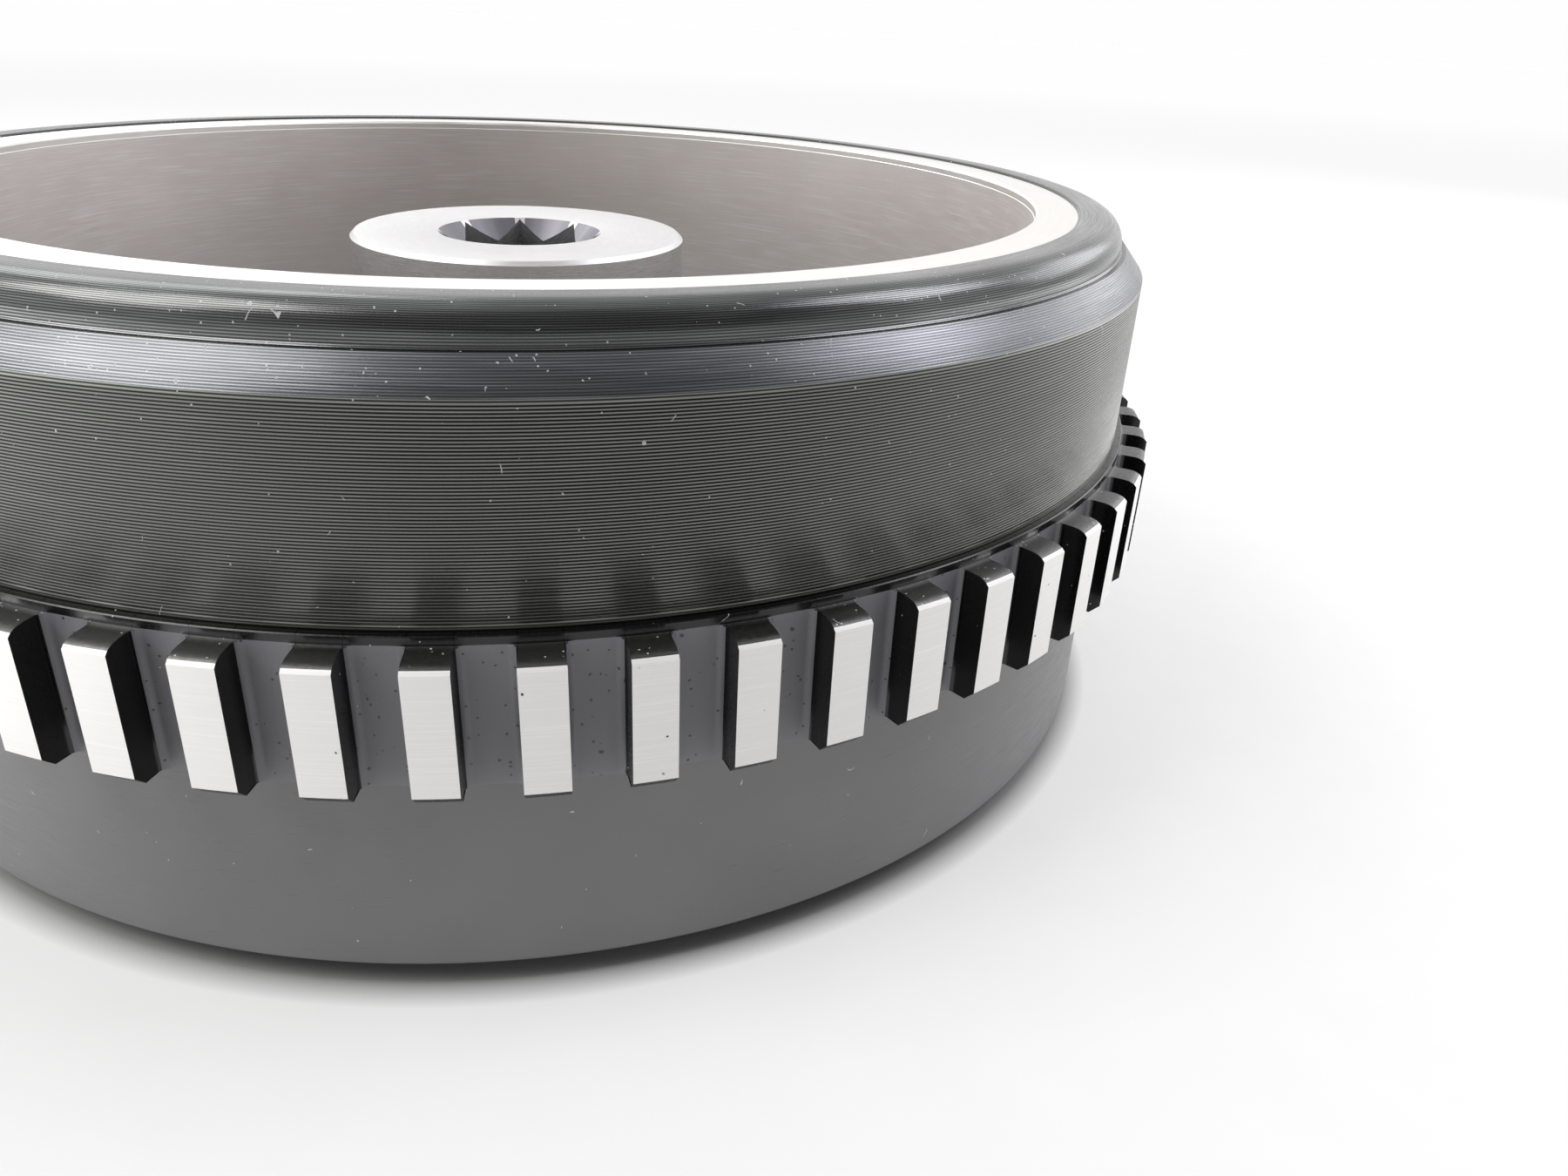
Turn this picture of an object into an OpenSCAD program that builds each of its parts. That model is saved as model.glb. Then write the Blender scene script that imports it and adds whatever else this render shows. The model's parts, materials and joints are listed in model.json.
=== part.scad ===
// Sailboat winch, drum open at the top: fixed base, turning drum with a toothed ring at its foot,
// roller bearings, epicyclic reduction gears, ratchet pawls and a spindle with a handle socket.
// Millimetres. Origin on the winch's axis in the plane of the gasket's underside, +Z up.

/* [Drum] */
// Radius of the turned band that the rope would lie on
band_r = 95; // [94.6:0.1:95.4]
// Radius of the drum's bore, inside its rim
bowl_r = 79; // [76:0.5:80]
// Height of the web's upper face, which is the bottom of the bowl
bowl_floor_z = 38; // [37:0.5:40]
// Height of the bare lip inside the rim
lip_z = 74.1; // [73.8:0.1:74.3]
// Height of the rounded bead, the highest point of the winch
bead_z = 74.5; // [74.4:0.1:75]

/* [Toothed ring] */
// Number of teeth round the foot of the drum
tooth_count = 60; // [48:4:60]
// Radius over the tips of the teeth
tip_r = 100; // [99:0.5:101]
// Radius of the floors of the slots between the teeth
slot_floor_r = 96; // [95.8:0.1:96.5]
// Width of each slot
slot_w = 5.9; // [5:0.1:6.4]
// Radius of the fillet along each slot's floor
slot_fillet_r = 1.1; // [0.5:0.1:1.2]

/* [Base] */
// Radius of the base's skirt
skirt_r = 94.3; // [93:0.1:95]
// Thickness of the gasket between the base and the deck
gasket_t = 3; // [2.9:0.1:3]
// Diameter of the circle that the deck studs stand on
deck_pcd = 120; // [118:1:122]
// Radius of the tapped holes for the deck studs
deck_hole_r = 3; // [2.5:0.5:3]

/* [Gears] */
// Module of the pinion, the idlers and the ring gear
gear_m = 2.5; // [2.5:0.5:2.5]
// Teeth on the drive pinion
pinion_teeth = 16; // [16:1:16]
// Teeth on each idler gear
idler_teeth = 22; // [22:1:22]
// Teeth inside the ring gear
ring_teeth = 60; // [60:1:60]
// Gap left between the flanks of meshing teeth, at each side of a tooth
flank_gap = 0.1; // [0.05:0.01:0.2]

/* [Spindle] */
// Radius of the spindle's head
head_r = 25.5; // [25:0.5:27]
// Height of the head's upper face
head_z = 65.3; // [63:0.1:67]
// Distance across the flats of the handle socket, an eight-pointed star of two squares
socket_w = 17.46; // [17.4:0.01:17.6]
// Depth of the handle socket
socket_depth = 38; // [34:1:38]
// Radius of the round lead-in at the socket's mouth
lead_in_r = 12.6; // [12.4:0.1:13]
// Depth of the lead-in
lead_in_depth = 3.2; // [2:0.1:3.5]

/* [Ratchet] */
// Teeth in the ratchet ring
ratchet_teeth = 24; // [24:12:24]
// How far a pawl swings out to meet the ratchet ring
pawl_swing = 11; // [11:1:12]

/* [Hidden] */
$fn = 96;
over = 1;                                   // how far a cutter runs past the face that it cuts

// Heights of the base
floor_z = gasket_t + 5;                     // upper face of the base's floor
skirt_top_z = 27.6;
skirt_inner_r = 88;
pillar_r = 7;
pillar_ring_r = deck_pcd / 2;
deck_hole_depth = 10;
quarter_angles = [45, 135, 225, 315];

// Heights and radii of the stem
flange_z = 24.5;
flange_top_z = 28;
flange_r = 68;
stem_r = 24;
stem_bore_r = 16;
neck_r = 22;
neck_z = 50.3;
stem_top_z = 53;
step_r = 34;
step_top_z = 32;
collar_r = 27.5;
collar_top_z = 33.5;
stem_screw_r = 3;
stem_screw_head_r = 5;
stem_screw_head_h = 3;
stem_screw_bottom_z = 15;
hex_r = 2.6;
hex_depth = 1.8;
six_sides = 6;

// Toothed ring
ring_bottom_z = 28.1;
ring_top_z = 44.8;
tooth_top_z = 43.7;
ring_bore_r = 88;
tooth_chamfer = 1.3;
ring_screw_r = 2;
ring_screw_head_r = 3.2;
ring_screw_circle_r = 92;
ring_screw_head_z = 28.6;
ring_screw_seat_z = 32.6;
ring_screw_top_z = 54;
ring_screw_count = 6;
tooth_pitch = 360 / tooth_count;

// Drum
web_z = 33;
hub_bore_r = 28;
hub_r = 34;
hub_top_z = 50;
sleeve_r = 86;
sleeve_z = 10.5;
bevel_z = 67.2;
bevel_top_z = 70.5;
bevel_top_r = 92.2;
bead_wall_r = 91.4;
bead_round = 3;
lip_outer_r = 85;
lip_chamfer = 0.5;

// Gear train
gear_bottom_z = 11;
gear_top_z = 23;
gear_h = gear_top_z - gear_bottom_z;
pressure_angle = 25;
addendum = 0.8 * gear_m;
dedendum = gear_m;
pinion_r = gear_m * pinion_teeth / 2;
idler_r = gear_m * idler_teeth / 2;
ring_r = gear_m * ring_teeth / 2;
idler_offset = pinion_r + idler_r;
ring_gear_outer_r = 81;
ring_pin_r = 1.5;
ring_pin_h = 8;
ring_pin_count = 6;
idler_pin_r = 6;
idler_bush_r = 8;
pin_gap = 0.05;                             // running clearance on a pin or shaft
flank_steps = 4;

// Spindle
shaft_r = 15 - pin_gap;
bush_bore_r = 15;
head_bottom_z = 54;
seat_r = 12;
seat_bottom_z = 8.5;
journal_r = 9;
journal_bottom_z = 3.6;
key_w = 4;
key_h = 4;
key_z = 11.5;
key_len = 11;
circlip_z = 10;
circlip_t = 1;
circlip_groove_r = 11;
circlip_r = 14.5;
circlip_gap = 5;
head_chamfer = 0.8;
bush_flange_r = 20;
bush_flange_t = 0.9;
foot_bush_r = 11;

// Bearings
roller_r = 1.95;
roller_ring_r = (stem_r + hub_bore_r) / 2;
roller_count = 16;
roller_len = 5;
pocket_gap = 0.12;
cage_inner_r = 24.4;
cage_outer_r = 27.6;
cage_h = 7;
lower_cage_z = 33.8;
upper_cage_z = 42.5;
spacer_z = 41;
spacer_h = 1.3;

// Ratchet
ratchet_outer_r = 75;
ratchet_root_r = 72.5;
ratchet_tip_r = 69.5;
ratchet_z = 28.5;
pawl_pivot_r = 57;
pawl_pin_r = 2.5;
pawl_boss_r = 5;
pawl_z = 28.4;
pawl_t = 3.5;
pawl_pin_head_r = 4;
pawl_pin_head_t = 0.6;
spring_post_r = 3.9;
spring_t = 0.6;
spring_h = 3;
spring_post = [13, 53];
nose_angle = 75.6;                          // where the nose stands in its swung-out place
nose_r = 71.3;
nose_heel_r = 67.6;
pawl_back_r = 69.2;
pawl_back_angle = 82;
ratchet_turn = -1.25;                       // keeps the teeth clear of a nose that swings past them

// ---------------------------------------------------------------- helpers
function polar(r, a) = [r * cos(a), r * sin(a)];
function involute(a) = tan(a) * 180 / PI - a;
function flank_turn(r, base_r) = r <= base_r ? 0 : involute(acos(base_r / r));
function half_tooth(r, pitch_r, n, gap) =
    90 / n - gap / pitch_r * 180 / PI + involute(pressure_angle)
    - flank_turn(r, pitch_r * cos(pressure_angle));
// Outline of a gear with a tooth at angle 0: up one flank and down the other, tooth by tooth
function gear_outline(n, pitch_r, low_r, high_r, gap) = [
    for (k = [0 : n - 1]) for (s = [-1, 1]) for (i = [0 : flank_steps])
        let (t = (s < 0 ? i : flank_steps - i) / flank_steps)
        let (r = low_r + (high_r - low_r) * t)
        polar(r, k * 360 / n + s * half_tooth(r, pitch_r, n, gap))
];
function turned(p, pivot, a) = [
    pivot[0] + (p[0] - pivot[0]) * cos(a) - (p[1] - pivot[1]) * sin(a),
    pivot[1] + (p[0] - pivot[0]) * sin(a) + (p[1] - pivot[1]) * cos(a)
];
function arc(center, r, a0, a1, n) = [
    for (i = [0 : n]) center + polar(r, a0 + (a1 - a0) * i / n)
];

module ring(inner_r, outer_r, z0, z1) {
    translate([0, 0, z0])
        difference() {
            cylinder(r = outer_r, h = z1 - z0);
            translate([0, 0, -over])
                cylinder(r = inner_r, h = z1 - z0 + 2 * over);
        }
}

module post(r, z0, z1) {
    translate([0, 0, z0])
        cylinder(r = r, h = z1 - z0);
}

module around(count, radius, start = 0) {
    for (k = [0 : count - 1])
        rotate(start + k * 360 / count)
            translate([radius, 0, 0])
                children();
}

module hex_recess(r, depth, top_z) {
    translate([0, 0, top_z - depth])
        cylinder(r = r, h = depth + over, $fn = six_sides);
}

// ---------------------------------------------------------------- fixed base
module base_housing() {
    color("dimgray")
        difference() {
            union() {
                post(skirt_r, gasket_t, floor_z);
                ring(skirt_inner_r, skirt_r, floor_z, skirt_top_z);
                around(len(quarter_angles), pillar_ring_r, quarter_angles[0])
                    post(pillar_r, gasket_t, flange_z);
            }
            post(foot_bush_r, gasket_t - over, floor_z + over);
            around(len(quarter_angles), pillar_ring_r, quarter_angles[0])
                post(deck_hole_r, gasket_t - over, gasket_t + deck_hole_depth);
            around(len(quarter_angles), pillar_ring_r, quarter_angles[0])
                post(stem_screw_r, stem_screw_bottom_z, flange_z + over);
            around(2, idler_offset)
                post(idler_pin_r, gasket_t + 1, floor_z + over);
        }
}

module foot_gasket() {
    gasket_inner_r = 50;
    gasket_outer_r = 90.5;
    gasket_hole_r = 3.5;
    color("black")
        difference() {
            ring(gasket_inner_r, gasket_outer_r, 0, gasket_t);
            around(len(quarter_angles), pillar_ring_r, quarter_angles[0])
                post(gasket_hole_r, -over, gasket_t + over);
        }
}

module center_stem() {
    color("silver")
        difference() {
            union() {
                post(flange_r, flange_z, flange_top_z);
                post(step_r, flange_top_z, step_top_z);
                post(collar_r, step_top_z, collar_top_z);
                post(stem_r, collar_top_z, neck_z);
                post(neck_r, neck_z, stem_top_z);
                for (turn = [0, 180])
                    rotate(turn)
                        translate([spring_post[0], spring_post[1], 0])
                            post(spring_post_r, flange_top_z, pawl_z + spring_h);
            }
            post(stem_bore_r, flange_z - over, stem_top_z + over);
            around(len(quarter_angles), pillar_ring_r, quarter_angles[0])
                post(stem_screw_r, flange_z - over, flange_top_z + over);
            around(2, idler_offset)
                post(idler_pin_r, flange_z - over, flange_top_z + over);
            around(2, pawl_pivot_r, 90)
                post(pawl_pin_r, flange_z - over, flange_top_z + over);
        }
}

module stem_screws() {
    head_top_z = flange_top_z + stem_screw_head_h;
    color("silver")
        around(len(quarter_angles), pillar_ring_r, quarter_angles[0])
            difference() {
                union() {
                    post(stem_screw_r, stem_screw_bottom_z, flange_top_z);
                    post(stem_screw_head_r, flange_top_z, head_top_z);
                }
                hex_recess(hex_r, hex_depth, head_top_z);
            }
}

module upper_spindle_bush() {
    bush_bottom_z = 41;
    color("goldenrod")
        difference() {
            union() {
                post(stem_bore_r, bush_bottom_z, stem_top_z);
                post(bush_flange_r, stem_top_z, stem_top_z + bush_flange_t);
            }
            post(bush_bore_r, bush_bottom_z - over, stem_top_z + bush_flange_t + over);
        }
}

module lower_spindle_bush() {
    bush_top_z = 36;
    color("goldenrod")
        ring(bush_bore_r, stem_bore_r, flange_z, bush_top_z);
}

module foot_bush() {
    color("goldenrod")
        ring(journal_r + pin_gap, foot_bush_r, journal_bottom_z, floor_z);
}

module spindle_thrust_washer() {
    washer_inner_r = 15.3;
    washer_outer_r = 21;
    washer_t = 1.2;
    color("goldenrod")
        ring(washer_inner_r, washer_outer_r, flange_z - washer_t, flange_z);
}

module drum_thrust_washer() {
    washer_top_z = web_z - pin_gap;
    color("ivory")
        ring(collar_r, step_r, step_top_z, washer_top_z);
}

module bearing_spacer() {
    spacer_inner_r = 24.1;
    color("ivory")
        ring(spacer_inner_r, cage_outer_r, spacer_z, spacer_z + spacer_h);
}

module drum_lock_nut() {
    nut_r = 31;
    slot_depth = 3;
    spanner_slot_w = 5;
    color("goldenrod")
        difference() {
            ring(neck_r, nut_r, neck_z, stem_top_z);
            around(4, nut_r - slot_depth)
                translate([0, -spanner_slot_w / 2, neck_z - over])
                    cube([slot_depth + over, spanner_slot_w, stem_top_z - neck_z + 2 * over]);
        }
}

module idler_pins() {
    color("silver")
        around(2, idler_offset)
            post(idler_pin_r, gasket_t + 1, flange_top_z);
}

module pawl_pins() {
    head_z0 = pawl_z + pawl_t + pin_gap;
    color("silver")
        around(2, pawl_pivot_r, 90) {
            post(pawl_pin_r, flange_z, head_z0);
            post(pawl_pin_head_r, head_z0, head_z0 + pawl_pin_head_t);
        }
}

// A C-shaped spring round each post, open on the side away from the pawl
module pawl_springs() {
    opening = 70;
    color("silver")
        for (turn = [0, 180])
            rotate(turn)
                translate([spring_post[0], spring_post[1], pawl_z])
                    rotate(-90 + opening / 2)
                        rotate_extrude(angle = 360 - opening)
                            translate([spring_post_r, 0])
                                square([spring_t, spring_h]);
}

// ---------------------------------------------------------------- drum
module drum_body() {
    outline = concat(
        [[hub_r, web_z], [hub_r, bowl_floor_z], [bowl_r, bowl_floor_z]],
        [[bowl_r, lip_z - lip_chamfer], [bowl_r + lip_chamfer, lip_z]],
        [[lip_outer_r, lip_z], [lip_outer_r + lip_chamfer, bead_z]],
        arc([bead_wall_r - bead_round, bead_z - bead_round], bead_round, 90, 0, 8),
        [[bead_wall_r, bevel_top_z], [bevel_top_r, bevel_top_z], [band_r, bevel_z]],
        [[band_r, ring_top_z], [ring_bore_r, ring_top_z], [ring_bore_r, ring_bottom_z]],
        [[sleeve_r, ring_bottom_z], [sleeve_r, sleeve_z], [ring_gear_outer_r, sleeve_z]],
        [[ring_gear_outer_r, gear_top_z], [ratchet_outer_r, gear_top_z]],
        [[ratchet_outer_r, web_z]]
    );
    color([0.16, 0.16, 0.18])
        difference() {
            rotate_extrude()
                polygon(outline);
            around(ring_screw_count, ring_screw_circle_r, tooth_pitch / 2)
                post(ring_screw_r, ring_top_z - over, ring_screw_top_z);
            around(ring_pin_count, ring_gear_outer_r)
                post(ring_pin_r, sleeve_z - over, gear_bottom_z + ring_pin_h);
        }
}

// The hardened sleeve pressed into the web, in which both rows of rollers run
module hub_sleeve() {
    color("silver")
        ring(hub_bore_r, hub_r, web_z, hub_top_z);
}

// One slot between two teeth, along +X, with filleted floor corners
module slot_cutter() {
    half_w = slot_w / 2;
    cut_h = tooth_top_z - ring_bottom_z + over;
    fillet_x = slot_floor_r + slot_fillet_r;
    translate([0, 0, ring_bottom_z - over]) {
        translate([slot_floor_r, -half_w + slot_fillet_r, 0])
            cube([tip_r + over - slot_floor_r, slot_w - 2 * slot_fillet_r, cut_h]);
        translate([fillet_x, -half_w, 0])
            cube([tip_r + over - fillet_x, slot_w, cut_h]);
        for (side = [-1, 1])
            translate([fillet_x, side * (half_w - slot_fillet_r), 0])
                cylinder(r = slot_fillet_r, h = cut_h, $fn = 32);
    }
}

module toothed_ring() {
    shoulder_r = 98.9;
    shoulder_z = 43.6;
    edge_r = 99.65;
    edge_z = 43.3;
    tip_top_z = 42.9;
    outline = [
        [ring_bore_r, ring_bottom_z], [ring_bore_r, ring_top_z], [slot_floor_r, ring_top_z],
        [slot_floor_r, tooth_top_z], [shoulder_r, shoulder_z], [edge_r, edge_z],
        [tip_r, tip_top_z], [tip_r, ring_bottom_z + tooth_chamfer],
        [tip_r - tooth_chamfer, ring_bottom_z]
    ];
    color([0.35, 0.35, 0.37])
        difference() {
            rotate_extrude()
                polygon(outline);
            for (k = [0 : tooth_count - 1])
                rotate(k * tooth_pitch + tooth_pitch / 2)
                    slot_cutter();
            around(ring_screw_count, ring_screw_circle_r, tooth_pitch / 2) {
                post(ring_screw_r, ring_bottom_z - over, ring_top_z + over);
                post(ring_screw_head_r, ring_bottom_z - over, ring_screw_seat_z);
            }
        }
}

module ring_screws() {
    ring_hex_r = 1.7;
    color("silver")
        around(ring_screw_count, ring_screw_circle_r, tooth_pitch / 2)
            difference() {
                union() {
                    post(ring_screw_head_r, ring_screw_head_z, ring_screw_seat_z);
                    post(ring_screw_r, ring_screw_seat_z, ring_screw_top_z);
                }
                translate([0, 0, ring_screw_head_z - over])
                    cylinder(r = ring_hex_r, h = hex_depth + over, $fn = six_sides);
            }
}

module ring_gear() {
    // The space between the teeth has the outline of a gear, a little fuller than its mate
    space = gear_outline(ring_teeth, ring_r, ring_r - addendum, ring_r + dedendum, -flank_gap);
    color("goldenrod")
        difference() {
            post(ring_gear_outer_r, gear_bottom_z, gear_top_z);
            translate([0, 0, gear_bottom_z - over])
                rotate(180 / ring_teeth)
                    linear_extrude(gear_h + 2 * over)
                        polygon(space);
            around(ring_pin_count, ring_gear_outer_r)
                post(ring_pin_r, gear_bottom_z - over, gear_bottom_z + ring_pin_h);
        }
}

module ring_gear_pins() {
    color("silver")
        around(ring_pin_count, ring_gear_outer_r)
            post(ring_pin_r, gear_bottom_z, gear_bottom_z + ring_pin_h);
}

// Saw teeth that stop the drum turning back and let it turn clockwise from above
module ratchet_ring() {
    pitch = 360 / ratchet_teeth;
    saw = [
        for (k = [0 : ratchet_teeth - 1]) for (end = [0, 1])
            polar(end == 0 ? ratchet_root_r : ratchet_tip_r, (k + end) * pitch + ratchet_turn)
    ];
    color("silver")
        difference() {
            post(ratchet_outer_r, ratchet_z, web_z);
            translate([0, 0, ratchet_z - over])
                linear_extrude(web_z - ratchet_z + 2 * over)
                    polygon(saw);
        }
}

// ---------------------------------------------------------------- roller bearings
module roller_cage(z0) {
    color("ivory")
        difference() {
            ring(cage_inner_r, cage_outer_r, z0, z0 + cage_h);
            around(roller_count, roller_ring_r)
                translate([0, 0, z0 + (cage_h - roller_len) / 2 - pocket_gap])
                    cylinder(r = roller_r + pocket_gap, h = roller_len + 2 * pocket_gap, $fn = 32);
        }
}

module rollers(z0) {
    color("silver")
        around(roller_count, roller_ring_r)
            translate([0, 0, z0 + (cage_h - roller_len) / 2])
                cylinder(r = roller_r, h = roller_len, $fn = 32);
}

module lower_roller_cage() { roller_cage(lower_cage_z); }
module lower_rollers() { rollers(lower_cage_z); }
module upper_roller_cage() { roller_cage(upper_cage_z); }
module upper_rollers() { rollers(upper_cage_z); }

// ---------------------------------------------------------------- spindle
module key_solid() {
    translate([seat_r - key_h / 2, -key_w / 2, key_z])
        cube([key_h, key_w, key_len]);
}

module main_spindle() {
    outline = [
        [0, journal_bottom_z], [journal_r, journal_bottom_z], [journal_r, seat_bottom_z],
        [seat_r, seat_bottom_z], [seat_r, circlip_z], [circlip_groove_r, circlip_z],
        [circlip_groove_r, circlip_z + circlip_t], [seat_r, circlip_z + circlip_t],
        [seat_r, gear_top_z], [shaft_r, gear_top_z], [shaft_r, head_bottom_z],
        [head_r, head_bottom_z], [head_r, head_z - head_chamfer], [head_r - head_chamfer, head_z],
        [0, head_z]
    ];
    color([0.3, 0.3, 0.32])
        difference() {
            rotate_extrude()
                polygon(outline);
            for (turn = [0, 45])
                rotate(turn)
                    translate([-socket_w / 2, -socket_w / 2, head_z - socket_depth])
                        cube([socket_w, socket_w, socket_depth + over]);
            translate([0, 0, head_z - lead_in_depth])
                cylinder(r1 = lead_in_r - lead_in_depth, r2 = lead_in_r + over, h = lead_in_depth + over);
            key_solid();
        }
}

module drive_pinion() {
    outline = gear_outline(pinion_teeth, pinion_r, pinion_r - dedendum, pinion_r + addendum, flank_gap);
    color("silver")
        difference() {
            translate([0, 0, gear_bottom_z])
                linear_extrude(gear_h)
                    polygon(outline);
            post(seat_r, gear_bottom_z - over, gear_top_z + over);
            key_solid();
            translate([seat_r - key_h / 2, -key_w / 2, gear_bottom_z - over])
                cube([key_h, key_w, over + key_z - gear_bottom_z]);
        }
}

module pinion_key() {
    color("silver")
        key_solid();
}

module spindle_circlip() {
    color("silver")
        difference() {
            ring(circlip_groove_r, circlip_r, circlip_z, circlip_z + circlip_t);
            translate([-circlip_r - over, -circlip_gap / 2, circlip_z - over])
                cube([circlip_r, circlip_gap, circlip_t + 2 * over]);
        }
}

// ---------------------------------------------------------------- idler gears
module idler_gear(turn) {
    outline = gear_outline(idler_teeth, idler_r, idler_r - dedendum, idler_r + addendum, flank_gap);
    color("goldenrod")
        rotate(turn)
            translate([idler_offset, 0, gear_bottom_z])
                difference() {
                    rotate(180 / idler_teeth)
                        linear_extrude(gear_h)
                            polygon(outline);
                    post(idler_bush_r, -over, gear_h + over);
                }
}

module idler_bush(turn) {
    bush_gap = 0.2;
    color("ivory")
        rotate(turn)
            translate([idler_offset, 0, 0])
                ring(idler_pin_r + pin_gap, idler_bush_r, floor_z + bush_gap, flange_z - bush_gap);
}

module idler_gear_a() { idler_gear(0); }
module idler_bush_a() { idler_bush(0); }
module idler_gear_b() { idler_gear(180); }
module idler_bush_b() { idler_bush(180); }

// ---------------------------------------------------------------- pawls
// Drawn swung out against a ratchet tooth, then turned back to its place of rest
module pawl(turn) {
    pivot = [0, pawl_pivot_r];
    swung_out = [
        pivot + polar(pawl_boss_r, 100), polar(pawl_back_r, pawl_back_angle),
        polar(nose_r, nose_angle), polar(nose_heel_r, nose_angle), pivot + polar(pawl_boss_r, -60)
    ];
    outline = [for (p = swung_out) turned(p, pivot, -pawl_swing)];
    color("silver")
        rotate(turn)
            translate([0, 0, pawl_z])
                difference() {
                    union() {
                        linear_extrude(pawl_t)
                            polygon(outline);
                        translate([0, pawl_pivot_r, 0])
                            cylinder(r = pawl_boss_r, h = pawl_t);
                    }
                    translate([0, pawl_pivot_r, -over])
                        cylinder(r = pawl_pin_r + pin_gap, h = pawl_t + 2 * over);
                }
}

module pawl_a() { pawl(0); }
module pawl_b() { pawl(180); }

// ---------------------------------------------------------------- the whole winch
base_housing();
foot_gasket();
center_stem();
stem_screws();
upper_spindle_bush();
lower_spindle_bush();
foot_bush();
spindle_thrust_washer();
drum_thrust_washer();
bearing_spacer();
drum_lock_nut();
idler_pins();
pawl_pins();
pawl_springs();
drum_body();
hub_sleeve();
toothed_ring();
ring_screws();
ring_gear();
ring_gear_pins();
ratchet_ring();
lower_roller_cage();
lower_rollers();
upper_roller_cage();
upper_rollers();
main_spindle();
drive_pinion();
pinion_key();
spindle_circlip();
idler_gear_a();
idler_bush_a();
idler_gear_b();
idler_bush_b();
pawl_a();
pawl_b();
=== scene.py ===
"""Looks of the sailboat winch: a turned drum with a toothed ring, its base, its spindle and the parts inside.

Everything is in metres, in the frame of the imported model: the origin lies on the winch's axis at deck height, with
+Z up. The pieces that show are built here as turned or toothed meshes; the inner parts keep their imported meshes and
only get their finishes.
"""

from __future__ import annotations

import json
import logging
import math
from dataclasses import dataclass, field
from enum import Enum

import bmesh
import bpy
from mathutils import Matrix, Vector


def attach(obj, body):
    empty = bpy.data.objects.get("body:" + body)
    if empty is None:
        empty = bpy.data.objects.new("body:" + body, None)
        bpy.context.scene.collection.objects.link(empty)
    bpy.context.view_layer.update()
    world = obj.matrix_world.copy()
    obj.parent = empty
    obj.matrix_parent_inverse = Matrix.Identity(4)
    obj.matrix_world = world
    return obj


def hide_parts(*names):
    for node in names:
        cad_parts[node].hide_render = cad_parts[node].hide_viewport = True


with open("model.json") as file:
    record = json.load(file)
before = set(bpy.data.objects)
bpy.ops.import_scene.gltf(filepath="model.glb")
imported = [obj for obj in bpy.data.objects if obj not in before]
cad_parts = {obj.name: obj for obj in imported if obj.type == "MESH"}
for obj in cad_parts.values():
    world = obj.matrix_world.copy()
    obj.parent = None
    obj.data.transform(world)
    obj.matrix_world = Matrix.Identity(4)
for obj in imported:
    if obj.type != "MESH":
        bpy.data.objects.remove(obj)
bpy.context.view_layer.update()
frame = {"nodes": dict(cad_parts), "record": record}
LOG = logging.getLogger("winch")

MM = 0.001

# Points closer than the first are merged; edges shorter than the second are dissolved
MERGE_GAP = 0.002 * MM
SHORTEST_EDGE = 0.001 * MM

# The scales of the textures that every finish shares, in cells to the metre
CLOUDS = 38.0
STRANDS = 330.0
STRAND_CUTS = 470.0

# Dust specks and pits come in two sizes each: the distance between their places, and a dot's radius as a share of it
SPECK_SIZES = ((0.9 * MM, 0.13), (2.6 * MM, 0.08))
PIT_SIZES = ((0.9 * MM, 0.2), (1.9 * MM, 0.16))

Rgb = tuple[float, float, float]
Point = tuple[float, float]
Point3 = tuple[float, float, float]
Quad = tuple[int, ...]

DUST_COLOR: Rgb = (0.62, 0.62, 0.64)
# Painted shade: the colour of the dark dots that stand for small pits
PIT_PAINTED_SHADE: Rgb = (0.004, 0.004, 0.005)


class Grain(Enum):
    """Which way the tool marks of a finish run."""

    TURNED = "round the winch's axis"
    BLASTED = "no direction"


class RingPatch(Enum):
    """The patches of the toothed ring, numbered as its materials."""

    FLANK = 0
    TIP = 1
    SLOT_FLOOR = 2
    SHOULDER = 3


class HeadPatch(Enum):
    """The patches of the spindle, numbered as its materials."""

    SIDE = 0
    FACE = 1
    SOCKET = 2


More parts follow.
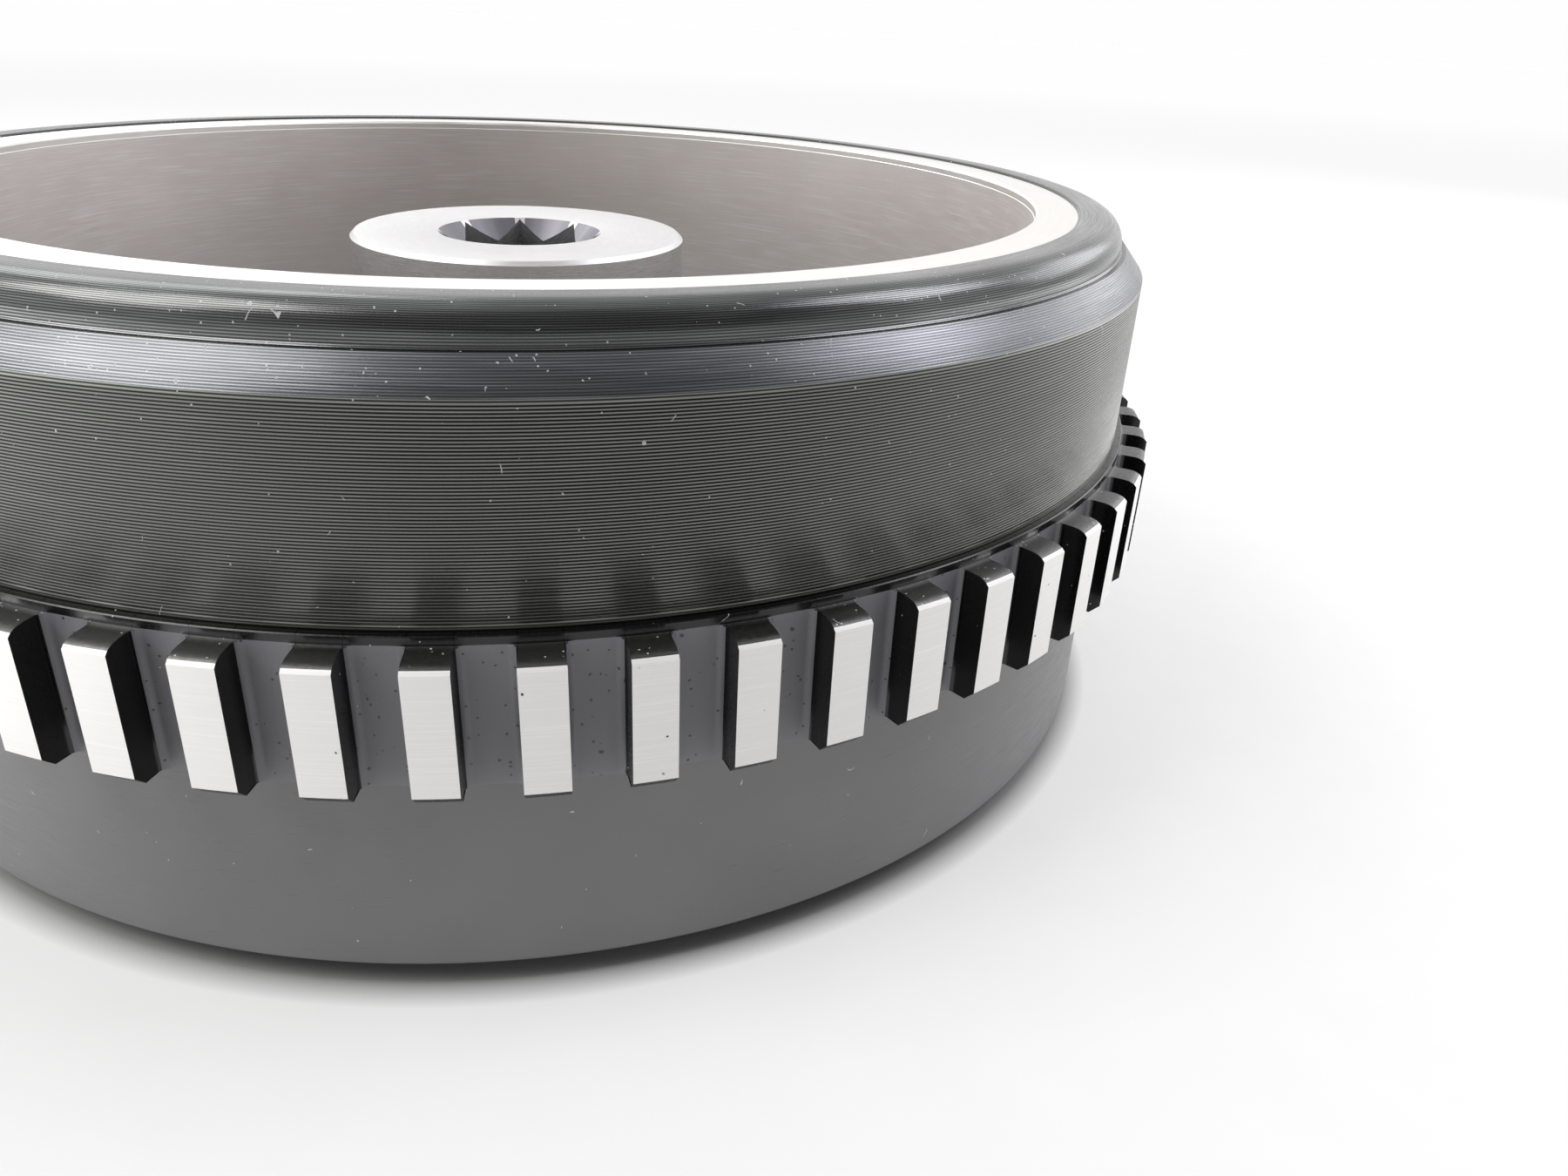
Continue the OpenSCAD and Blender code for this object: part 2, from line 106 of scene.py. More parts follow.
class NodeSheet:
    """A small writer for a node tree."""

    def __init__(self, tree: bpy.types.NodeTree) -> None:
        """Keep the tree to write in.

        Args:
            tree: the node tree of the sky, or of a material.
        """
        self.tree = tree

    def add(self, kind: str, inputs: dict[str, object] | None = None, **settings: object) -> bpy.types.Node:
        """Add a node.

        Args:
            kind: Blender's node type.
            inputs: values or sockets for the node's named inputs.
            **settings: the node's own properties.

        Returns:
            The new node.
        """
        node = self.tree.nodes.new(kind)
        for key, value in settings.items():
            setattr(node, key, value)
        for key, value in (inputs or {}).items():
            self.feed(node.inputs[key], value)
        return node

    def feed(self, socket: bpy.types.NodeSocket, value: object) -> None:
        """Link a socket to another, or set its value.

        Args:
            socket: the input socket.
            value: an output socket, or a plain value.
        """
        if isinstance(value, bpy.types.NodeSocket):
            self.tree.links.new(value, socket)
        else:
            socket.default_value = value

    def math(self, operation: str, *values: object) -> bpy.types.NodeSocket:
        """Add a maths node.

        Args:
            operation: Blender's name for the operation.
            *values: up to three numbers or sockets.

        Returns:
            The node's result.
        """
        node = self.add("ShaderNodeMath", operation=operation)
        for socket, value in zip(node.inputs, values):
            self.feed(socket, value)
        return node.outputs[0]

    def vector(self, x: object, y: object, z: object) -> bpy.types.NodeSocket:
        """Join three values as a vector and return its socket."""
        return self.add("ShaderNodeCombineXYZ", {"X": x, "Y": y, "Z": z}).outputs[0]

    def gap(self, place: bpy.types.NodeSocket, center: Point3) -> bpy.types.NodeSocket:
        """Return the distance of a place from a point."""
        return self.add("ShaderNodeVectorMath", {0: place, 1: center}, operation="DISTANCE").outputs["Value"]

    def camera_ray(self) -> bpy.types.NodeSocket:
        """Return 1 where the camera looks straight at the surface, and 0 for light and reflections."""
        return self.add("ShaderNodeLightPath").outputs["Is Camera Ray"]

    def position(self) -> tuple[bpy.types.NodeSocket, ...]:
        """Find where the shaded spot lies.

        Returns:
            The place on the piece, its x, y and z, and its distance from the winch's axis.
        """
        place = self.add("ShaderNodeTexCoord").outputs["Object"]
        x, y, z = self.add("ShaderNodeSeparateXYZ", {0: place}).outputs
        radius = self.math("SQRT", self.math("MULTIPLY_ADD", x, x, self.math("MULTIPLY", y, y)))
        return place, x, y, z, radius

    def noise(self, at: bpy.types.NodeSocket, scale: float, detail: float = 2.0) -> bpy.types.NodeSocket:
        """Add a noise texture.

        Args:
            at: the coordinates.
            scale: how many cells there are in one unit.
            detail: how many finer octaves it has.

        Returns:
            The noise, from 0 to 1.
        """
        inputs = {"Vector": at, "Scale": scale, "Detail": detail}
        return self.add("ShaderNodeTexNoise", inputs).outputs["Fac"]

    def span(self, value: object, low: float, high: float, to_low: float, to_high: float) -> bpy.types.NodeSocket:
        """Map a value from one range to another, held at its ends.

        Args:
            value: the number or socket to map.
            low: where the first range starts.
            high: where the first range ends.
            to_low: where the second range starts.
            to_high: where the second range ends.

        Returns:
            The mapped value.
        """
        node = self.add("ShaderNodeMapRange")
        for socket, given in zip(node.inputs, (value, low, high, to_low, to_high)):
            self.feed(socket, given)
        return node.outputs[0]

    def blend(self, share: object, first: object, second: object) -> bpy.types.NodeSocket:
        """Mix two colours.

        Args:
            share: how much of the second colour there is, from 0 to 1.
            first: the first colour or socket.
            second: the second colour or socket.

        Returns:
            The mixed colour.
        """
        node = self.add("ShaderNodeMix", data_type="RGBA")
        self.feed(node.inputs["Factor"], share)
        for index, value in ((6, first), (7, second)):
            self.feed(node.inputs[index], (*value, 1.0) if isinstance(value, tuple) else value)
        return node.outputs[2]


class MaterialSheet(NodeSheet):
    """A node writer for one new material."""

    def __init__(self, name: str) -> None:
        """Start a material with its plain shader.

        Args:
            name: the material's name.
        """
        self.material = bpy.data.materials.new(name)
        self.material.use_nodes = True
        super().__init__(self.material.node_tree)
        self.shader = self.tree.nodes["Principled BSDF"]


@dataclass(frozen=True)
class Finish:
    """A surface finish, and how it is written as a procedural material.

    Attributes:
        name: the material's name.
        color: the main colour.
        shade: the second colour, which clouds of the finish lean towards.
        metallic: 1 on bare metal, 0 on a coating.
        roughness: the mean roughness.
        rough_swing: how far the roughness strays along the tool marks.
        ior: the index of refraction of a coating.
        grain: which way the tool marks run.
        line_pitch: the mean distance between tool marks, in metres.
        line_depth: the depth of the tool marks, in metres.
        streak: the mean length of a tool mark, as a share of a turn.
        specks: how much of the surface holds bright dust, from 0 to 1.
        pits: how much of the surface holds small pits, painted as dark dots of shade, from 0 to 1.
        anisotropy: how far the gloss stretches across the tool marks.
        groove_pitch: the distance between regular turned grooves, or 0 for none.
        groove_depth: the depth of those grooves, in metres.
        groove_painted_shade: the colour of their floors, painted shade in the grooves.
    """

    name: str
    color: Rgb
    shade: Rgb
    metallic: float = 0.0
    roughness: float = 0.35
    rough_swing: float = 0.08
    ior: float = 1.5
    grain: Grain = Grain.TURNED
    line_pitch: float = 0.12 * MM
    line_depth: float = 0.002 * MM
    streak: float = 0.12
    specks: float = 0.0
    pits: float = 0.0
    anisotropy: float = 0.0
    groove_pitch: float = 0.0
    groove_depth: float = 0.0
    # Painted shade: the colour that the floors of the turned grooves darken to
    groove_painted_shade: Rgb = (0.02, 0.02, 0.02)

    def coordinates(self, sheet: NodeSheet) -> bpy.types.NodeSocket:
        """Find coordinates that stretch a texture along the tool marks.

        Args:
            sheet: the material being written.

        Returns:
            The coordinates, in tool marks.
        """
        place, x, y, z, radius = sheet.position()
        if self.grain is Grain.BLASTED:
            return sheet.add("ShaderNodeVectorMath", {0: place, 1: (1 / self.line_pitch,) * 3},
                             operation="MULTIPLY").outputs[0]
        safe = sheet.math("MAXIMUM", radius, MM)
        turn = 1 / self.streak
        across = sheet.math("MULTIPLY", sheet.math("SUBTRACT", radius, z), 1 / self.line_pitch)
        return sheet.vector(sheet.math("MULTIPLY", sheet.math("DIVIDE", x, safe), turn),
                            sheet.math("MULTIPLY", sheet.math("DIVIDE", y, safe), turn), across)

    def dots(self, sheet: NodeSheet, pitch: float, share: float, size: float) -> bpy.types.NodeSocket:
        """Mask small scattered dots.

        Args:
            sheet: the material being written.
            pitch: the distance between places that may hold a dot, in metres.
            share: how many of the places hold one, from 0 to 1.
            size: a dot's radius as a share of the pitch.

        Returns:
            1 on a dot and 0 elsewhere.
        """
        place = sheet.add("ShaderNodeTexCoord").outputs["Object"]
        warp = sheet.add("ShaderNodeTexNoise", {"Vector": place, "Scale": 1.7 / pitch}).outputs["Color"]
        shifted = sheet.add("ShaderNodeVectorMath", {0: warp, 1: (0.35 * pitch,) * 3, 2: place},
                            operation="MULTIPLY_ADD").outputs[0]
        cells = sheet.add("ShaderNodeTexVoronoi", {"Vector": shifted, "Scale": 1 / pitch})
        near = sheet.span(cells.outputs["Distance"], 0.6 * size, size, 1.0, 0.0)
        pick = sheet.add("ShaderNodeSeparateColor", {0: cells.outputs["Color"]}).outputs[0]
        chosen = sheet.math("LESS_THAN", pick, share)
        return sheet.math("MULTIPLY", near, chosen)

    def dust(self, sheet: NodeSheet, place: bpy.types.NodeSocket) -> bpy.types.NodeSocket:
        """Mask dust: fine and coarse specks, and a few short fibres of lint.

        Args:
            sheet: the material being written.
            place: the place on the piece.

        Returns:
            1 on dust and 0 elsewhere.
        """
        specks = sheet.math("MAXIMUM", *(self.dots(sheet, pitch, self.specks, size) for pitch, size in SPECK_SIZES))
        bend = sheet.math("ABSOLUTE", sheet.math("SUBTRACT", sheet.noise(place, STRANDS, 0.0), 0.5))
        strand = sheet.math("LESS_THAN", bend, 0.007)
        cut = sheet.math("GREATER_THAN", sheet.noise(place, STRAND_CUTS, 0.0), 0.81 - 0.09 * self.specks)
        return sheet.math("MAXIMUM", specks, sheet.math("MULTIPLY", strand, cut))

    def write(self) -> bpy.types.Material:
        """Write the finish as a material.

        Returns:
            The material, the same one each time it is asked for.
        """
        known = bpy.data.materials.get(self.name)
        if known:
            return known
        sheet = MaterialSheet(self.name)
        lines = sheet.noise(self.coordinates(sheet), 1.0, 3.0)
        place, _, _, z, radius = sheet.position()
        clouds = sheet.noise(place, CLOUDS, 3.0)
        color = sheet.blend(sheet.span(clouds, 0.35, 0.7, 0.0, 1.0), self.color, self.shade)
        fleck = tuple(min(1.0, channel * 1.25 + 0.004) for channel in self.color)
        color = sheet.blend(sheet.span(lines, 0.5, 0.8, 0.0, 0.7), color, fleck)
        relief = sheet.math("MULTIPLY", lines, self.line_depth)
        if self.groove_pitch > 0:
            along = sheet.math("MULTIPLY", sheet.math("SUBTRACT", radius, z), math.tau / self.groove_pitch)
            crest = sheet.math("COSINE", along)
            # Painted shade: the colour darkens towards the floor of each turned groove
            color = sheet.blend(sheet.span(crest, -0.6, 0.8, 0.0, 1.0), self.groove_painted_shade, color)
            relief = sheet.math("MULTIPLY_ADD", crest, self.groove_depth / 2, relief)
        # Painted shade: small pits drawn as near-black dots
        if self.pits > 0:
            for pitch, size in PIT_SIZES:
                color = sheet.blend(self.dots(sheet, pitch, self.pits, size), color, PIT_PAINTED_SHADE)
        rough = sheet.math("ADD", sheet.span(lines, 0.25, 0.75, -self.rough_swing, self.rough_swing),
                           sheet.span(clouds, 0.3, 0.7, self.roughness - 0.03, self.roughness + 0.03))
        if self.specks > 0:
            dust = self.dust(sheet, place)
            color = sheet.blend(dust, color, DUST_COLOR)
            rough = sheet.math("MAXIMUM", rough, sheet.math("MULTIPLY", dust, 0.9))
        bump = sheet.add("ShaderNodeBump", {"Height": relief, "Distance": 1.0, "Strength": 1.0})
        inputs = {"Base Color": color, "Roughness": rough, "Metallic": self.metallic, "IOR": self.ior,
                  "Anisotropic": self.anisotropy, "Normal": bump.outputs[0]}
        for socket, value in inputs.items():
            sheet.feed(sheet.shader.inputs[socket], value)
        return sheet.material


@dataclass(frozen=True)
class Palette:
    """Every finish of the winch, by the place where it is used."""

    band: Finish = Finish("band_anodised", (0.22, 0.226, 0.206), (0.185, 0.19, 0.174), metallic=0.8,
                          roughness=0.28, rough_swing=0.05, line_pitch=0.34 * MM, line_depth=0.003 * MM,
                          specks=0.08, groove_pitch=0.34 * MM, groove_painted_shade=(0.02, 0.02, 0.018))
    bead: Finish = Finish("bead_anodised", (0.24, 0.245, 0.245), (0.10, 0.105, 0.105), metallic=0.75, roughness=0.2,
                          rough_swing=0.1, line_pitch=0.16 * MM, line_depth=0.012 * MM, specks=0.4,
                          groove_pitch=0.3 * MM, groove_depth=0.005 * MM, groove_painted_shade=(0.05, 0.05, 0.05))
    bevel: Finish = Finish("bevel_anodised", (0.24, 0.25, 0.26), (0.15, 0.155, 0.163), metallic=0.75, roughness=0.3,
                           rough_swing=0.12, line_pitch=0.2 * MM, line_depth=0.014 * MM, specks=0.4,
                           groove_pitch=0.42 * MM, groove_depth=0.006 * MM, groove_painted_shade=(0.08, 0.08, 0.09))
    teeth: Finish = Finish("teeth_anodised", (0.003, 0.003, 0.003), (0.006, 0.006, 0.006), roughness=0.22,
                           ior=1.5, grain=Grain.BLASTED, line_pitch=0.3 * MM, line_depth=0.001 * MM, specks=0.05)
    tops: Finish = Finish("tooth_tops", (0.008, 0.008, 0.007), (0.02, 0.02, 0.018), roughness=0.36, ior=1.8,
                          grain=Grain.BLASTED, line_pitch=0.5 * MM, line_depth=0.03 * MM, specks=0.5)
    slots: Finish = Finish("slots_anodised", (0.15, 0.15, 0.167), (0.19, 0.19, 0.208), roughness=0.45,
                           ior=1.7, grain=Grain.BLASTED, line_pitch=0.3 * MM, line_depth=0.006 * MM, pits=0.4,
                           specks=0.03)
    skirt: Finish = Finish("skirt_brushed", (0.105, 0.102, 0.106), (0.140, 0.136, 0.140), roughness=0.38,
                           rough_swing=0.12, ior=1.8, line_pitch=0.14 * MM, line_depth=0.006 * MM, streak=0.05,
                           specks=0.02)
    bare: Finish = Finish("bare_turned", (0.88, 0.87, 0.85), (0.85, 0.84, 0.82), metallic=0.3, roughness=0.55,
                          line_pitch=0.1 * MM, line_depth=0.0004 * MM, pits=0.02)
    lip: Finish = Finish("lip_turned", (0.92, 0.90, 0.87), (0.87, 0.85, 0.82), metallic=0.9, roughness=0.42,
                         line_pitch=0.1 * MM, line_depth=0.001 * MM, anisotropy=0.3)
    bore: Finish = Finish("bore_turned", (0.86, 0.815, 0.795), (0.76, 0.715, 0.70), metallic=0.75, roughness=0.48,
                          line_pitch=0.2 * MM, line_depth=0.002 * MM, anisotropy=0.4)
    hub_face: Finish = Finish("hub_faced", (0.78, 0.77, 0.77), (0.74, 0.73, 0.73), metallic=0.9, roughness=0.42,
                              line_pitch=0.12 * MM, line_depth=0.001 * MM)
    hub_side: Finish = Finish("hub_side", (0.20, 0.195, 0.22), (0.26, 0.25, 0.28), metallic=0.7, roughness=0.36,
                              line_pitch=0.15 * MM)
    steel: Finish = Finish("steel_ground", (0.60, 0.60, 0.60), (0.52, 0.52, 0.53), metallic=1.0, roughness=0.3)
    bronze: Finish = Finish("bronze_machined", (0.60, 0.40, 0.17), (0.50, 0.31, 0.12), metallic=1.0, roughness=0.33)
    acetal: Finish = Finish("acetal_moulded", (0.80, 0.78, 0.71), (0.74, 0.72, 0.65), roughness=0.45,
                            grain=Grain.BLASTED, line_pitch=0.4 * MM)
    rubber: Finish = Finish("rubber_moulded", (0.012, 0.012, 0.012), (0.02, 0.02, 0.02), roughness=0.75,
                            grain=Grain.BLASTED, line_pitch=0.3 * MM, line_depth=0.01 * MM)


@dataclass
class Outline:
    """A closed outline in the plane of radius and height, with the finish of each stretch."""

    points: list[Point] = field(default_factory=list)
    finishes: list[Finish] = field(default_factory=list)
    finish: Finish | None = None

    def use(self, finish: Finish) -> Outline:
        """Give a finish to the stretches that follow, and return the outline."""
        self.finish = finish
        return self

    def to(self, *points: Point) -> Outline:
        """Draw straight to each point in turn.

        Args:
            *points: radius and height of each point, in metres.

        Returns:
            The outline.
        """
        for point in points:
            self.points.append(point)
            self.finishes.append(self.finish)
        return self

    def arc(self, center: Point, radius: float, start: float, end: float, steps: int) -> Outline:
        """Draw a round stretch.

        Args:
            center: the arc's centre.
            radius: the arc's radius.
            start: the angle where it starts, in degrees from the outward direction.
            end: the angle where it ends.
            steps: how many straight pieces it has.

        Returns:
            The outline.
        """
        for i in range(steps + 1):
            angle = math.radians(start + (end - start) * i / steps)
            self.to((center[0] + radius * math.cos(angle), center[1] + radius * math.sin(angle)))
        return self

    def grooves(self, radius: float, top: float, bottom: float, pitch: float, depth: float) -> Outline:
        """Draw a row of fine turned grooves down a cylinder.

        Args:
            radius: the cylinder's radius over the crests.
            top: where the row starts.
            bottom: where it ends.
            pitch: the distance between grooves.
            depth: the depth of a groove.

        Returns:
            The outline.
        """
        count = int((top - bottom) / pitch)
        for i in range(count):
            crest = top - i * pitch
            self.to((radius, crest), (radius - depth, crest - pitch / 2))
        return self

    def turn(self, name: str, segments: int) -> bpy.types.Object:
        """Turn the outline round the Z axis.

        Args:
            name: the piece's name.
            segments: how many flats go round.

        Returns:
            The piece.
        """
        mesh = bpy.data.meshes.new(name)
        count = len(self.points)
        verts = []
        for k in range(segments):
            c, s = math.cos(math.tau * k / segments), math.sin(math.tau * k / segments)
            verts += [(r * c, r * s, z) for r, z in self.points]
        faces = []
        for k in range(segments):
            a, b = k * count, (k + 1) % segments * count
            for i in range(count):
                j = (i + 1) % count
                faces.append((a + i, b + i, b + j, a + j))
        mesh.from_pydata(verts, [], faces)
        kinds = list(dict.fromkeys(self.finishes))
        for finish in kinds:
            mesh.materials.append(finish.write())
        ring = [kinds.index(self.finishes[(i + 1) % count]) for i in range(count)]
        mesh.polygons.foreach_set("material_index", ring * segments)
        return finished(name, mesh)


def quads(rings: int, around: int, closed: bool) -> list[Quad]:
    """Join rings of points with four-cornered faces.

    Args:
        rings: how many rings there are, one after another.
        around: how many points each ring has.
        closed: whether the last ring joins the first.

    Returns:
        The corners of each face, by number.
    """
    faces = []
    for ring in range(rings if closed else rings - 1):
        a, b = ring * around, (ring + 1) % rings * around
        for i in range(around):
            j = (i + 1) % around
            faces.append((a + i, a + j, b + j, b + i))
    return faces


def finished(name: str, mesh: bpy.types.Mesh, sharp: float = 28.0) -> bpy.types.Object:
    """Clean a mesh, shade it and put it in the scene.

    Args:
        name: the piece's name.
        mesh: its mesh, in the frame's own place.
        sharp: the angle from which an edge stays sharp, in degrees.

    Returns:
        The piece.
    """
    work = bmesh.new()
    work.from_mesh(mesh)
    bmesh.ops.remove_doubles(work, verts=work.verts, dist=MERGE_GAP)
    bmesh.ops.dissolve_degenerate(work, edges=work.edges, dist=SHORTEST_EDGE)
    bmesh.ops.recalc_face_normals(work, faces=work.faces)
    work.to_mesh(mesh)
    work.free()
    mesh.polygons.foreach_set("use_smooth", [True] * len(mesh.polygons))
    mesh.set_sharp_from_angle(angle=math.radians(sharp))
    piece = bpy.data.objects.new(name, mesh)
    bpy.context.scene.collection.objects.link(piece)
    return piece


def fasten(piece: bpy.types.Object, body: str, node: str) -> bpy.types.Object:
    """Let a piece stand for a node of the frame.

    Args:
        piece: the piece.
        body: the body that it rides on.
        node: the node that it replaces.

    Returns:
        The piece.
    """
    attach(piece, body)
    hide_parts(node)
    LOG.info("%s rides on %s in place of %s: %d faces", piece.name, body, node, len(piece.data.polygons))
    return piece


@dataclass
class Drum:
    """The turned drum: band, bevel, bead, bare lip, bore and web."""

    palette: Palette
    band_r: float = 95 * MM
    bore_r: float = 79 * MM
    lip_r: float = 85 * MM
    lip_z: float = 74.1 * MM
    bead_z: float = 74.5 * MM
    bead_r: float = 91.4 * MM
    bead_round: float = 3 * MM
    bevel_r: float = 92.2 * MM
    bevel_z: float = 67.2 * MM
    bevel_top_z: float = 70.5 * MM
    ledge_z: float = 44.8 * MM
    web_top_z: float = 38 * MM
    web_z: float = 33 * MM
    web_bore_r: float = 34 * MM
    web_fillet: float = 2 * MM
    ring_seat_r: float = 88 * MM
    ring_seat_z: float = 28.1 * MM
    sleeve_r: float = 86 * MM
    sleeve_z: float = 10.5 * MM
    gear_seat_r: float = 81 * MM
    gear_seat_z: float = 23 * MM
    ratchet_seat_r: float = 75 * MM
    edge: float = 0.35 * MM
    groove_pitch: float = 0.34 * MM
    groove_depth: float = 0.05 * MM
    segments: int = 384

    def outline(self) -> Outline:
        """Draw the drum's outline, from the foot of its bore round the rim and back under the web.

        Returns:
            The outline.
        """
        p = self.palette
        rim = Outline().use(p.teeth)
        rim.to((self.web_bore_r, self.web_z), (self.web_bore_r, self.web_top_z))
        rim.arc((self.bore_r - self.web_fillet, self.web_top_z + self.web_fillet), self.web_fillet, 270, 360, 5)
        self.draw_lip(rim)
        self.draw_bevel(rim)
        turns = math.ceil((self.band_r - self.bevel_z + 0.1 * MM) / self.groove_pitch)
        rim.use(p.band).grooves(self.band_r, self.band_r - turns * self.groove_pitch, self.ledge_z + 0.5 * MM,
                                self.groove_pitch, self.groove_depth)
        rim.to((self.band_r, self.ledge_z + 0.45 * MM), (self.band_r, self.ledge_z), (self.ring_seat_r, self.ledge_z))
        rim.use(p.bore).to((self.ring_seat_r, self.ring_seat_z), (self.sleeve_r, self.ring_seat_z))
        rim.to((self.sleeve_r, self.sleeve_z), (self.gear_seat_r, self.sleeve_z), (self.gear_seat_r, self.gear_seat_z))
        rim.to((self.ratchet_seat_r, self.gear_seat_z), (self.ratchet_seat_r, self.web_z))
        return rim

    def draw_lip(self, rim: Outline) -> None:
        """Draw up the bore, over the bare lip and round the bead.

        Args:
            rim: the outline so far.
        """
        p = self.palette
        lip_r = self.bore_r + 0.1 * MM
        rim.use(p.bore).to((self.bore_r, self.lip_z - 1.3 * MM))
        rim.use(p.lip).to((lip_r, self.lip_z - 1.2 * MM), (lip_r, self.lip_z - self.edge))
        rim.to((self.bore_r + self.edge, self.lip_z), (self.lip_r, self.lip_z))
        rim.use(p.bead).to((self.lip_r + self.edge, self.bead_z - 0.1 * MM), (self.lip_r + 2 * self.edge, self.bead_z))
        center = (self.bead_r - self.bead_round, self.bead_z - self.bead_round)
        rim.arc(center, self.bead_round, 90, 0, 14)
        rim.to((self.bead_r, self.bevel_top_z + 0.25 * MM), (self.bead_r + 0.2 * MM, self.bevel_top_z + 0.05 * MM))

    def draw_bevel(self, rim: Outline) -> None:
        """Draw the near-black line under the bead, painted shade where the bead meets the bevel, and the bevel.

        Args:
            rim: the outline so far.
        """
        p = self.palette
        # Painted shade: a near-black strip under the bead, in the black finish of the teeth
        rim.use(p.teeth).to((self.bevel_r - 0.05 * MM, self.bevel_top_z + 0.02 * MM),
                            (self.bevel_r + 0.05 * MM, self.bevel_top_z - 0.05 * MM))
        rim.use(p.bevel).to((self.band_r - 0.08 * MM, self.bevel_z + 0.08 * MM),
                            (self.band_r, self.bevel_z - 0.05 * MM))

    def build(self) -> bpy.types.Object:
        """Build the drum and return it."""
        return fasten(self.outline().turn("drum", self.segments), "drum", "drum_body")


@dataclass
class ToothedRing:
    """The ring of square teeth at the drum's foot, with bare tips and filleted slots."""

    palette: Palette
    count: int = 60
    tip_r: float = 100 * MM
    floor_r: float = 96 * MM
    bore_r: float = 88 * MM
    slot_w: float = 5.9 * MM
    fillet: float = 1.1 * MM
    bottom_z: float = 28.1 * MM
    top_z: float = 44.8 * MM
    fillet_steps: int = 5
    edge_round: float = 0.07 * MM
    floor_top_z: float = 43.9 * MM
    shoulder_top_z: float = 44 * MM

    def profile(self) -> list[Point]:
        """List how far a tooth reaches at each height.

        Returns:
            Radius and height, from the bottom up.
        """
        return [
            (98.7 * MM, self.bottom_z), (self.tip_r, self.bottom_z + 1.3 * MM), (self.tip_r, 42.9 * MM),
            (99.62 * MM, 43.28 * MM), (99.25 * MM, 43.48 * MM), (98.75 * MM, 43.63 * MM), (98.1 * MM, 43.7 * MM),
            (97.0 * MM, 43.72 * MM), (96.4 * MM, 43.74 * MM), (96.12 * MM, 43.85 * MM), (self.floor_r, 44.1 * MM),
            (self.floor_r, self.top_z - 0.12 * MM), (self.floor_r - 0.12 * MM, self.top_z),
        ]

    def sector(self) -> list[Point]:
        """Draw one tooth and slot in plan, with the tooth at the middle.

        Returns:
            Radius and angle of each point.
        """
        half_slot = self.slot_w / 2
        pitch = math.tau / self.count
        tip_half = pitch / 2 - math.asin(half_slot / self.tip_r)
        radii = sorted({r for r, _ in self.profile() if r > self.floor_r + self.fillet}, reverse=True)
        side = [(self.tip_r, tip_half * i / 3) for i in range(3)]
        for r in radii:
            side.append((r, pitch / 2 - math.asin(half_slot / r)))
        for i in range(self.fillet_steps + 1):
            turn = math.pi / 2 * i / self.fillet_steps
            x = self.floor_r + self.fillet - self.fillet * math.sin(turn)
            y = half_slot - self.fillet + self.fillet * math.cos(turn)
            side.append((math.hypot(x, y), pitch / 2 - math.atan2(y, x)))
        side.append((self.floor_r, pitch / 2))
        mirrored = [(r, -a) for r, a in reversed(side[1:])]
        return mirrored[1:] + side

    def mesh(self) -> bpy.types.Mesh:
        """Stack the plan of all the teeth, cut back to the profile at each height.

        Returns:
            The ring's mesh.
        """
        plan = []
        start = -math.pi / 2
        for k in range(self.count):
            plan += [(r, start + k * math.tau / self.count + a) for r, a in self.sector()]
        levels = self.profile()
        verts = []
        for limit, z in levels:
            for r, a in plan:
                reach = min(r, limit)
                verts.append((reach * math.cos(a), reach * math.sin(a), z))
        for z in (self.top_z, self.bottom_z):
            verts += [(self.bore_r * math.cos(a), self.bore_r * math.sin(a), z) for _, a in plan]
        mesh = bpy.data.meshes.new("toothed_ring_turned")
        mesh.from_pydata(verts, [], quads(len(levels) + 2, len(plan), closed=True))
        return mesh

    def build(self) -> bpy.types.Object:
        """Build the ring, with its edges just broken.

        Returns:
            The ring's piece.
        """
        ring = finished("toothed_ring_turned", self.mesh())
        self.dress(ring)
        bevel = ring.modifiers.new("edges", "BEVEL")
        bevel.width = self.edge_round
        bevel.segments = 2
        bevel.limit_method = "ANGLE"
        bevel.angle_limit = math.radians(35)
        bevel.harden_normals = True
        return fasten(ring, "drum", "toothed_ring")

    def dress(self, ring: bpy.types.Object) -> None:
        """Give the tips, flanks and slot floors their finishes.

        Args:
            ring: the ring's piece.
        """
        p = self.palette
        for finish in (p.teeth, p.bare, p.slots, p.tops):
            ring.data.materials.append(finish.write())
        for face in ring.data.polygons:
            center = face.center
            radius = math.hypot(center.x, center.y)
            outward = (face.normal.x * center.x + face.normal.y * center.y) / radius
            if radius > self.tip_r - 0.45 * MM and outward > 0.6:
                face.material_index = RingPatch.TIP.value
            elif self.floor_r - 0.5 * MM < radius < self.floor_r + 0.6 * MM and outward > 0.5:
                on_floor = center.z < self.floor_top_z
                face.material_index = (RingPatch.SLOT_FLOOR if on_floor else RingPatch.FLANK).value
            elif face.normal.z > 0.5 and center.z < self.shoulder_top_z and radius > self.floor_r:
                face.material_index = RingPatch.SHOULDER.value


@dataclass
class Base:
    """The fixed base: its skirt, its rounded foot edge and its floor."""

    palette: Palette
    skirt_r: float = 94.3 * MM
    inner_r: float = 88 * MM
    foot_z: float = 3 * MM
    floor_z: float = 8 * MM
    top_z: float = 27.6 * MM
    bush_r: float = 11 * MM
    top_edge: float = 0.2 * MM
    foot_edge: float = 0.45 * MM
    segments: int = 384

    def build(self) -> bpy.types.Object:
        """Build the base.

        Returns:
            The base's piece.
        """
        shell = Outline().use(self.palette.skirt)
        shell.to((self.bush_r, self.foot_z), (self.bush_r, self.floor_z), (self.inner_r, self.floor_z))
        shell.to((self.inner_r, self.top_z), (self.skirt_r - self.top_edge, self.top_z),
                 (self.skirt_r, self.top_z - self.top_edge), (self.skirt_r, self.foot_z + 1.1 * MM))
        shell.arc((self.skirt_r - self.foot_edge, self.foot_z + self.foot_edge), self.foot_edge, 0, -90, 5)
        return fasten(shell.turn("base", self.segments), "base", "base_housing")


